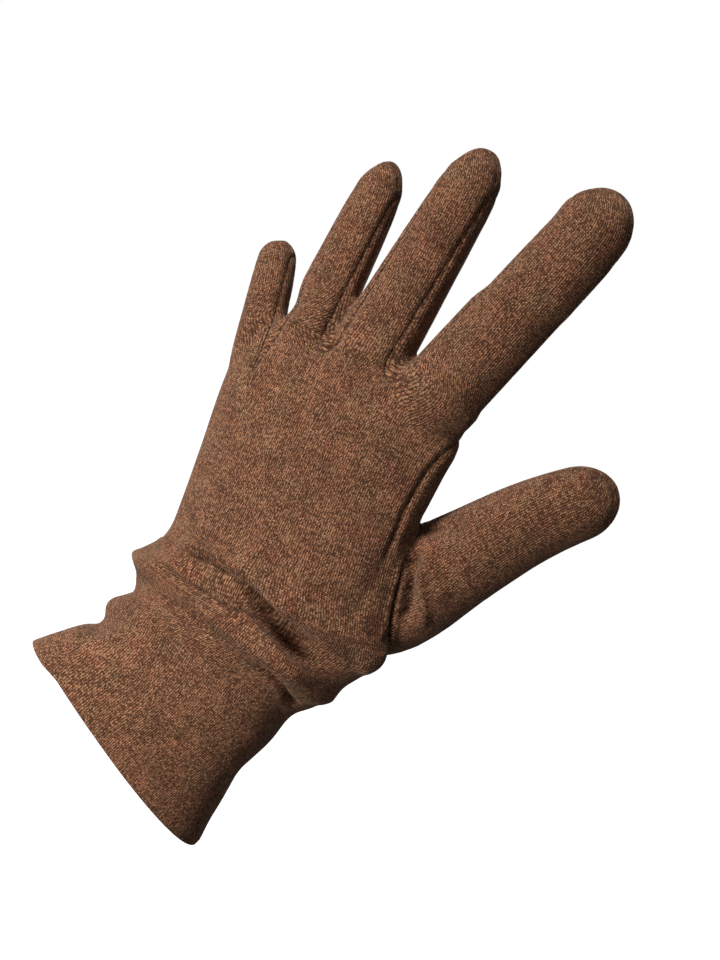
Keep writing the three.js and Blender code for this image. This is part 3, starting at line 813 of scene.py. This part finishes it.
# %% Marks
MARKS = {
    "index_neck_left": (-1.3, 9.0, ((50, 6, 194), (58.3, 6, 211.9), (66, 6, 228), (69, 5, 236))),
    "index_right": (0.5, 6.0, ((93, 3, 221), (87, 3.5, 208), (81, 4, 196))),
    "index_heel": (1.1, 6.0, ((62, 12, 141), (66, 13, 151), (70, 12, 161))),
    "root_bottom": (2.7, 6.0, ((66, 10, 65), (76, 12, 70), (85, 14, 77))),
    "little_ring_gap": (-1.6, 5.5, ((-9.5, -4, 169), (-9.2, 12, 168), (-9, 28, 169))),
    "rim_top": (-1.2, 6.0, ((-30, 2, 28), (-37, 6, 24), (-44, 10, 18), (-48, 12, 12))),
    "left_bulge": (1.0, 4.6, (
        (-14, -2, 58), (-22, 4, 55), (-23.4, 12, 52), (-22, 20, 52), (-14, 28, 52),
    )),
    "left_bulge_top": (4.2, 4.5, (
        (-10, 0, 73), (-19, 4, 71), (-22.5, 12, 68), (-19, 20, 67), (-10, 26, 67),
    )),
    "left_notch": (-2.2, 2.6, ((-14, 0, 52), (-22, 5, 49.5), (-23.5, 12, 48.5), (-22, 20, 48))),
    "left_low_dip": (-2.6, 3.6, (
        (-15, -11, 38), (-19, -8, 37), (-23.5, -3, 35), (-27, 6, 33), (-28, 16, 31),
    )),
    "left_second_dip": (-1.4, 4.0, ((-22, 2, 40), (-29.5, 12, 38), (-28, 20, 37))),
    "right_dip": (-1.9, 6.0, ((54, -4, 57), (62, 4, 53), (66, 12, 50), (66, 20, 48), (58, 32, 47))),
    "right_low_dip": (-1.3, 4.0, ((50, 0, 40), (56, 7.2, 42), (60, 16, 42), (60, 26, 41))),
    "rim_right_dip": (-2.0, 8.0, ((38, 2, 12), (43.3, 12, 8.1), (42, 20, 6))),
    "lip_line": (-1.3, 1.3, (
        (-12, 8, 75), (-8, 4, 77.5), (-2.6, 1.3, 79.5), (5.7, -0.6, 81), (14, -2.1, 81),
        (20, -2.5, 80),
    )),
    "roll_top": (2.1, 2.8, (
        (-20, 9, 66), (-14.9, 7.6, 70.5), (-2.6, 1.3, 76.2), (5.7, -0.6, 77.5), (14, -2.1, 77.6),
        (19.5, -2.6, 77), (30, -2, 76),
    )),
    "valley": (-6.4, 4.2, (
        (-6, -1.7, 70), (9.9, -3.8, 73.4), (21.9, -4.9, 72), (36, 0.3, 66.9), (44.1, 1.5, 63.6),
        (51.7, 2.1, 61.7), (60, 3.3, 59),
    )),
    "valley_upper": (-2.8, 3.0, (
        (-6, 1.5, 73), (3.9, -2.8, 73.7), (12, -4.2, 72.9), (22.9, -4.7, 71.8), (32.1, -2.3, 69),
        (40, 0, 66),
    )),
    "valley_core": (-2.6, 2.6, (
        (4, -3, 74), (14, -4.5, 72.5), (21.9, -4.9, 71), (30, -3, 67.5), (38, 0.3, 64.5),
    )),
    "roll": (3.4, 3.4, (
        (-20.2, 2, 62.1), (-6.8, 0.7, 66.9), (8.2, -0.9, 66.5), (22.5, 0.4, 64.1), (31.6, -0.1, 60.6),
        (44, -2.5, 57.1), (56.2, 0, 53), (62.2, 6, 49.6),
    )),
    "hollow_low": (-1.2, 5.0, (
        (-15.6, 0, 59.8), (-5.9, -2.5, 60), (11.3, -5.8, 57), (22.7, -4.1, 50.9), (30.8, -4.1, 46.4),
        (39.5, -2.3, 41.1), (44.5, 0.2, 35),
    )),
    "crease": (-3.0, 1.2, (
        (37, -3.4, 51), (45.1, -2.2, 49.5), (49.2, -0.1, 47.5), (53, 6, 42), (54, 12, 39),
    )),
    "back_bulge": (1.6, 8.0, ((14, -1.6, 84), (32.8, -1.1, 82.3), (49.1, 0.1, 80))),
    "side_seam": (-0.5, 1.2, (
        (66, 14, 150), (64.7, 10.8, 143.8), (62.4, 8.7, 135.3), (61.8, 8.3, 127.9),
        (61.1, 7.9, 119.7), (61.5, 8.2, 111.3), (62.3, 8, 101.4),
    )),
    "side_seam_low": (-1.0, 3.0, (
        (61.5, 8.2, 111), (62.3, 8, 101.4), (62.1, 6.7, 93.5), (61.5, 4.8, 83.8), (60, 1.4, 76.2),
    )),
    "thumb_ridge": (2.2, 1.4, (
        (65.3, 14.9, 115.9), (65.6, 17.1, 110.2), (65.4, 14.9, 102.8), (66, 13.2, 96.7),
        (67, 13.4, 90.7), (68.3, 13.6, 84.1), (69.6, 12.4, 78.7), (70, 9.3, 72.2),
    )),
    "thumb_second": (1.8, 1.0, (
        (68.9, 14.8, 104.1), (70.3, 14, 95.2), (72, 15.2, 86.6), (73, 17.5, 77.8), (73, 20, 70.6),
    )),
    "crotch_hollow": (-2.2, 3.2, (
        (67, 20, 113), (68.9, 18.9, 117), (72.3, 18.6, 119.5), (76, 17.1, 120.5), (81, 16, 123),
    )),
    "pleat_hollow": (-3.6, 2.2, (
        (68.5, 14.5, 109), (70, 14.5, 103), (72, 14.1, 97), (74.3, 14.4, 91), (75.5, 15.5, 83),
    )),
    "pleat": (2.3, 1.7, (
        (71, 14.8, 105), (74, 14.2, 100), (77.5, 14.5, 96), (80.5, 15.7, 90), (82, 18.7, 84),
    )),
    "soft_pleat": (1.7, 2.4, ((70, 16.2, 111), (75, 14.9, 107), (81.5, 14.9, 101), (85, 16, 96))),
}

# %% [markdown]
# ## Seams
# Along a seam the two edges of cloth turn inwards and are sewn together, so the surface dips into a
# narrow groove and stands a little proud on both sides of it. Points near a seam are moved in or out by
# their distance to it, and the distance is kept for the material, which darkens the cloth along the seam as
# painted shade in the groove.

# %% Seam profile
GROOVE_DEPTH, GROOVE_REACH = 0.5, 0.9
BANK_HEIGHT, BANK_AWAY, BANK_REACH = 0.2, 2.4, 1.3
FARTHEST = 10.0


def seam_profile(away):
    """Height of the surface at a distance from a seam."""
    bank = BANK_HEIGHT * np.exp(-(((away - BANK_AWAY) / BANK_REACH) ** 2))
    return bank - GROOVE_DEPTH * np.exp(-((away / GROOVE_REACH) ** 2))


def seam_distance(points):
    """Distance from each point to the nearest sewn point."""
    sewn = skin.verts.layers.int["sewn"]
    marked = [v.index for v in skin.verts if v[sewn]]
    tree = KDTree(len(marked))
    for i in marked:
        tree.insert(points[i], i)
    tree.balance()
    return np.minimum(np.array([tree.find(p)[2] for p in points]), FARTHEST)


# %% Move the skin
skin.normal_update()
points = skin_points()
normals = np.array([v.normal for v in skin.verts], float)
away = seam_distance(points)
lift = seam_profile(away)
for name, (height, breadth, line) in MARKS.items():
    made = mark_lift(points, height, breadth, line)
    print(name, round(float(made[np.argmax(np.abs(made))]), 2))
    lift += made
rest_points = points
away_layer = skin.verts.layers.float.new("seam_away")
for v, p, n, up_by, far in zip(skin.verts, points, normals, lift, away):
    v.co = Vector((p + n * up_by) * MM)
    v[away_layer] = far
print("lift from", round(lift.min(), 2), "to", round(lift.max(), 2), "mm")

# %% Build the panels
WRAP = 60.0


def build_panel(n):
    """Takes one panel out of the skin and gives it stitch coordinates and a wall.

    Round a closed tube the coordinates jump back to their start, so a face that spans the jump has the
    corners past it set to the far end.
    """
    panel = skin.copy()
    layer = panel.loops.layers.uv.new("stitches")
    place = COORDINATES[n](rest_points)
    panel.verts.index_update()
    panel.faces.ensure_lookup_table()
    for i in np.flatnonzero(panel_of == n):
        loops = panel.faces[i].loops
        corners = np.array([place[loop.vert.index] for loop in loops])
        top = corners[:, 0].max()
        corners[top - corners[:, 0] > WRAP, 0] = top
        for loop, corner in zip(loops, corners):
            loop[layer].uv = corner
    others = [panel.faces[i] for i in np.flatnonzero(panel_of != n)]
    bmesh.ops.delete(panel, geom=others, context="FACES")
    mesh = bpy.data.meshes.new(PANELS[n])
    panel.to_mesh(mesh)
    panel.free()
    piece = bpy.data.objects.new(PANELS[n] + "_knit", mesh)
    bpy.context.scene.collection.objects.link(piece)
    mesh.polygons.foreach_set("use_smooth", [True] * len(mesh.polygons))
    wall = piece.modifiers.new("cloth", "SOLIDIFY")
    wall.thickness = CLOTH * MM
    wall.offset = -1
    return piece


pieces = [build_panel(n) for n in range(len(PANELS))]
for piece in pieces:
    print(piece.name, len(piece.data.polygons), "faces")

# %% [markdown]
# ## Wool jersey
# The yarn is spun from wool dyed in several browns, so each stitch is a little lighter, darker or
# redder than the next. The stitches are drawn as slanted legs that meet in a V, and the same drawing
# feeds the bump. A soft nap of loose fibre dulls the surface and gives it a faint sheen at its edges.

# %% Material helpers
WALE, COURSE = 0.83, 0.66


def node(tree, kind, **settings):
    """A new node with its settings."""
    made = tree.nodes.new(kind)
    for key, value in settings.items():
        setattr(made, key, value)
    return made


def calc(tree, operation, a, b=None, c=None):
    """A Math node on sockets or numbers."""
    made = node(tree, "ShaderNodeMath", operation=operation)
    for socket, value in zip(made.inputs, (a, b, c)):
        if value is None:
            continue
        if isinstance(value, (int, float)):
            socket.default_value = value
        else:
            tree.links.new(value, socket)
    return made.outputs[0]


def ramp(tree, factor, stops):
    """A colour ramp with stops of (place, colour)."""
    made = node(tree, "ShaderNodeValToRGB")
    elements = made.color_ramp.elements
    while len(elements) < len(stops):
        elements.new(0.5)
    for element, (place, colour) in zip(elements, stops):
        element.position = place
        element.color = (*colour, 1)
    tree.links.new(factor, made.inputs["Fac"])
    return made.outputs["Color"]


def noise(tree, vector, scale, detail, roughness):
    """A noise texture's value."""
    made = node(tree, "ShaderNodeTexNoise")
    made.inputs["Scale"].default_value = scale
    made.inputs["Detail"].default_value = detail
    made.inputs["Roughness"].default_value = roughness
    tree.links.new(vector, made.inputs["Vector"])
    return made.outputs["Fac"]


# %% [markdown]
# The colour is mixed from five drawings: the fibres, one value for each leg of a stitch, soft clouds,
# streaks along the courses, and the stitch's own height, which paints shade into the gaps between the legs.
# Each noise is given by its scale, detail and roughness, each drawing by its share. Slow patches tint it,
# and painted shade darkens it along the seams' grooves.

# %% The jersey material
YARN_SHIFT = 0.34
YARN_STOPS = [
    (0.25, (0.0150, 0.0050, 0.0019)),
    (0.42, (0.040, 0.0148, 0.0066)),
    (0.54, (0.087, 0.0344, 0.0158)),
    (0.72, (0.265, 0.137, 0.077)),
]
RUSTY, OLIVE = (1.08, 0.95, 0.92), (0.94, 1.02, 0.95)
# Painted shade along the seams: the colour is scaled down to SEAM_SHADE at the seam and back to full within
# a fraction of a millimetre.
SEAM_SHADE, SEAM_SHADE_FULL_WITHIN, SEAM_SHADE_ENDS_AT = 0.62, 0.1, 0.6
LEG_SLANT, LEG_ROUND, GAP_ROUND = 1.1, 0.6, 0.8
# The height share paints shade into the gaps between the stitch legs and lightens their crests.
SHARES = dict(fibre=0.80, stitch=0.26, soft=0.20, streak=0.16, height=0.26)
FIBRE, SOFT, STREAK, PATCH = (1.9, 3, 0.7), (0.09, 4, 0.6), (1.0, 2, 0.5), (0.10, 4, 0.7)
STREAK_STRETCH = (0.035, 0.9, 1.0)
PATCH_STOPS = [(0.38, OLIVE), (0.62, RUSTY)]
BUMP_STRENGTH, BUMP_DISTANCE, BUMP_FIBRE = 0.7, 0.22, 0.9
FINISH = {
    "Roughness": 0.95,
    "Specular IOR Level": 0.15,
    "Sheen Weight": 0.12,
    "Sheen Roughness": 0.5,
    "Sheen Tint": (0.85, 0.62, 0.48, 1),
}


def wool_jersey():
    """The heathered jersey, drawn in the stitch coordinates of each panel."""
    material = bpy.data.materials.new("wool_jersey")
    material.use_nodes = True
    tree = material.node_tree
    shader = tree.nodes["Principled BSDF"]
    uv = node(tree, "ShaderNodeUVMap", uv_map="stitches").outputs[0]
    split = node(tree, "ShaderNodeSeparateXYZ")
    tree.links.new(uv, split.inputs[0])
    wale = calc(tree, "DIVIDE", split.outputs[0], WALE)
    column = calc(tree, "FRACT", wale)
    from_middle = calc(tree, "ABSOLUTE", calc(tree, "SUBTRACT", column, 0.5))
    slant = calc(tree, "MULTIPLY", from_middle, LEG_SLANT)
    course = calc(tree, "ADD", calc(tree, "DIVIDE", split.outputs[1], COURSE), slant)
    row = calc(tree, "FRACT", course)
    leg = calc(tree, "SINE", calc(tree, "MULTIPLY", row, math.pi))
    between = calc(tree, "SINE", calc(tree, "MULTIPLY", column, math.pi))
    leg, between = calc(tree, "POWER", leg, LEG_ROUND), calc(tree, "POWER", between, GAP_ROUND)
    height = calc(tree, "MULTIPLY", leg, between)
    stitch = node(tree, "ShaderNodeCombineXYZ")
    tree.links.new(calc(tree, "FLOOR", calc(tree, "MULTIPLY", wale, 2)), stitch.inputs[0])
    tree.links.new(calc(tree, "FLOOR", course), stitch.inputs[1])
    white = node(tree, "ShaderNodeTexWhiteNoise", noise_dimensions="2D")
    tree.links.new(stitch.outputs[0], white.inputs["Vector"])
    fibre = noise(tree, uv, *FIBRE)
    soft = noise(tree, uv, *SOFT)
    streak_place = node(tree, "ShaderNodeMapping")
    streak_place.inputs["Scale"].default_value = STREAK_STRETCH
    tree.links.new(uv, streak_place.inputs["Vector"])
    streak = noise(tree, streak_place.outputs[0], *STREAK)
    mixed = calc(tree, "MULTIPLY", fibre, SHARES["fibre"])
    # Painted shade: the stitch's height is mixed into the colour, so the gaps between the legs are darker
    # and the crests lighter.
    parts = dict(stitch=white.outputs["Value"], soft=soft, streak=streak, height=height)
    for name, value in parts.items():
        mixed = calc(tree, "MULTIPLY_ADD", value, SHARES[name], mixed)
    colour = ramp(tree, calc(tree, "SUBTRACT", mixed, YARN_SHIFT), YARN_STOPS)
    patches = ramp(tree, noise(tree, uv, *PATCH), PATCH_STOPS)
    tinted = node(tree, "ShaderNodeMix", data_type="RGBA", blend_type="MULTIPLY")
    tinted.inputs[0].default_value = 1.0
    tree.links.new(colour, tinted.inputs[6])
    tree.links.new(patches, tinted.inputs[7])
    # Painted shade: near the seams the colour is darkened, standing for the shade in their grooves.
    seam = node(tree, "ShaderNodeAttribute", attribute_name="seam_away").outputs["Fac"]
    sewn = node(tree, "ShaderNodeMapRange", interpolation_type="SMOOTHSTEP")
    tree.links.new(seam, sewn.inputs["Value"])
    sewn.inputs["From Min"].default_value = SEAM_SHADE_FULL_WITHIN
    sewn.inputs["From Max"].default_value = SEAM_SHADE_ENDS_AT
    sewn.inputs["To Min"].default_value = SEAM_SHADE
    sewn.inputs["To Max"].default_value = 1.0
    shaded = node(tree, "ShaderNodeVectorMath", operation="SCALE")
    tree.links.new(tinted.outputs[2], shaded.inputs[0])
    tree.links.new(sewn.outputs[0], shaded.inputs["Scale"])
    tree.links.new(shaded.outputs[0], shader.inputs["Base Color"])
    for name, value in FINISH.items():
        shader.inputs[name].default_value = value
    bump = node(tree, "ShaderNodeBump")
    bump.inputs["Strength"].default_value = BUMP_STRENGTH
    bump.inputs["Distance"].default_value = BUMP_DISTANCE * MM
    tree.links.new(calc(tree, "MULTIPLY_ADD", fibre, BUMP_FIBRE, height), bump.inputs["Height"])
    tree.links.new(bump.outputs[0], shader.inputs["Normal"])
    return material


# %% Dress the frame's nodes
jersey = wool_jersey()
FINGER_NODES = [name + "_finger" for name in FINGERS]
for piece, panel in zip(pieces, PANELS):
    piece.data.materials.append(jersey)
    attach(piece, "root")
    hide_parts(panel, *(FINGER_NODES if panel == "hand_panel" else []))

# %% [markdown]
# ## Floor, light and camera
# The glove is held up at its cuff, so the floor lies well below it. Floor and world look nearly white,
# but the world lights the glove only weakly, so that two soft lights from the left can shape the folds.
# A third light stands opposite the camera, and lights the palm when the glove is turned round.

# %% Stage
FLOOR_BELOW, FLOOR_SIZE = 260.0, 12000.0
FLOOR_FINISH = {
    "Base Color": (0.95, 0.95, 0.95, 1),
    "Roughness": 0.9,
    "Emission Color": (1, 1, 1, 1),
    "Emission Strength": 0.88,
}
floor_bm = bmesh.new()
bmesh.ops.create_grid(floor_bm, x_segments=1, y_segments=1, size=FLOOR_SIZE / 2 * MM)
for v in floor_bm.verts:
    v.co.z = cad_box[0].z - FLOOR_BELOW * MM
floor_mesh = bpy.data.meshes.new("floor")
floor_bm.to_mesh(floor_mesh)
floor_bm.free()
floor = bpy.data.objects.new("floor", floor_mesh)
bpy.context.scene.collection.objects.link(floor)
pale = bpy.data.materials.new("pale_floor")
pale.use_nodes = True
pale_shader = pale.node_tree.nodes["Principled BSDF"]
for name, value in FLOOR_FINISH.items():
    pale_shader.inputs[name].default_value = value
floor.data.materials.append(pale)
floor.visible_diffuse = False
floor.visible_glossy = False
print("floor at", round(floor_mesh.vertices[0].co.z / MM, 1), "mm")

# %% World
SKY_LIGHT = 0.20
world = bpy.data.worlds.new("studio")
bpy.context.scene.world = world
world.use_nodes = True
sky = world.node_tree.nodes["Background"]
sky.inputs["Color"].default_value = (1, 1, 1, 1)
seen = node(world.node_tree, "ShaderNodeLightPath")
strength = node(world.node_tree, "ShaderNodeMapRange")
strength.inputs["To Min"].default_value = SKY_LIGHT
strength.inputs["To Max"].default_value = 1.0
world.node_tree.links.new(seen.outputs["Is Camera Ray"], strength.inputs["Value"])
world.node_tree.links.new(strength.outputs[0], sky.inputs["Strength"])
bpy.context.scene.view_settings.view_transform = "Standard"


# %% Lights
def soft_light(name, place, aim, size, power):
    """A square area light that looks at a point. Places in millimetres."""
    data = bpy.data.lights.new(name, "AREA")
    data.size, data.energy = size * MM, power
    light = bpy.data.objects.new(name, data)
    bpy.context.scene.collection.objects.link(light)
    light.location = Vector(place) * MM
    light.rotation_mode = "QUATERNION"
    light.rotation_quaternion = (Vector(aim) - Vector(place)).to_track_quat("-Z", "Y")


AIM = (39.6, 15.95, 121.6)
soft_light("top", (-220, -430, 720), AIM, 180, 8.6)
soft_light("left", (-110, -275, 40), AIM, 150, 1.45)
soft_light("behind", (-113, 487, 52), AIM, 300, 7)

# %% Camera
CAMERA_AWAY, CAMERA_SIDE, CAMERA_ABOVE, CAMERA_ROLL = 400.0, 18.0, 8.0, 24.0
LONG_SIDE, PIXELS_TALL, MM_A_PIXEL = 36.0, 960, 0.35
a, e, r = (math.radians(x) for x in (CAMERA_SIDE, CAMERA_ABOVE, CAMERA_ROLL))
back = Vector((math.sin(a) * math.cos(e), -math.cos(a) * math.cos(e), math.sin(e)))
right = (-back).cross(Vector((0, 0, 1))).normalized()
up = back.cross(right)
camera_data = bpy.data.cameras.new("camera")
camera_data.sensor_width = LONG_SIDE
camera_data.lens = LONG_SIDE * CAMERA_AWAY / (MM_A_PIXEL * PIXELS_TALL)
camera_data.clip_start = 0.01
camera = bpy.data.objects.new("camera", camera_data)
bpy.context.scene.collection.objects.link(camera)
camera.matrix_world = (
    Matrix((right * math.cos(r) + up * math.sin(r), up * math.cos(r) - right * math.sin(r), back))
    .transposed().to_4x4()
)
camera.location = (Vector(AIM) + back * CAMERA_AWAY) * MM
bpy.context.scene.camera = camera

# %% Print the frame's box and finish
bpy.context.view_layer.update()
print("box of the frame:", [tuple(round(x / MM, 1) for x in c) for c in cad_box])
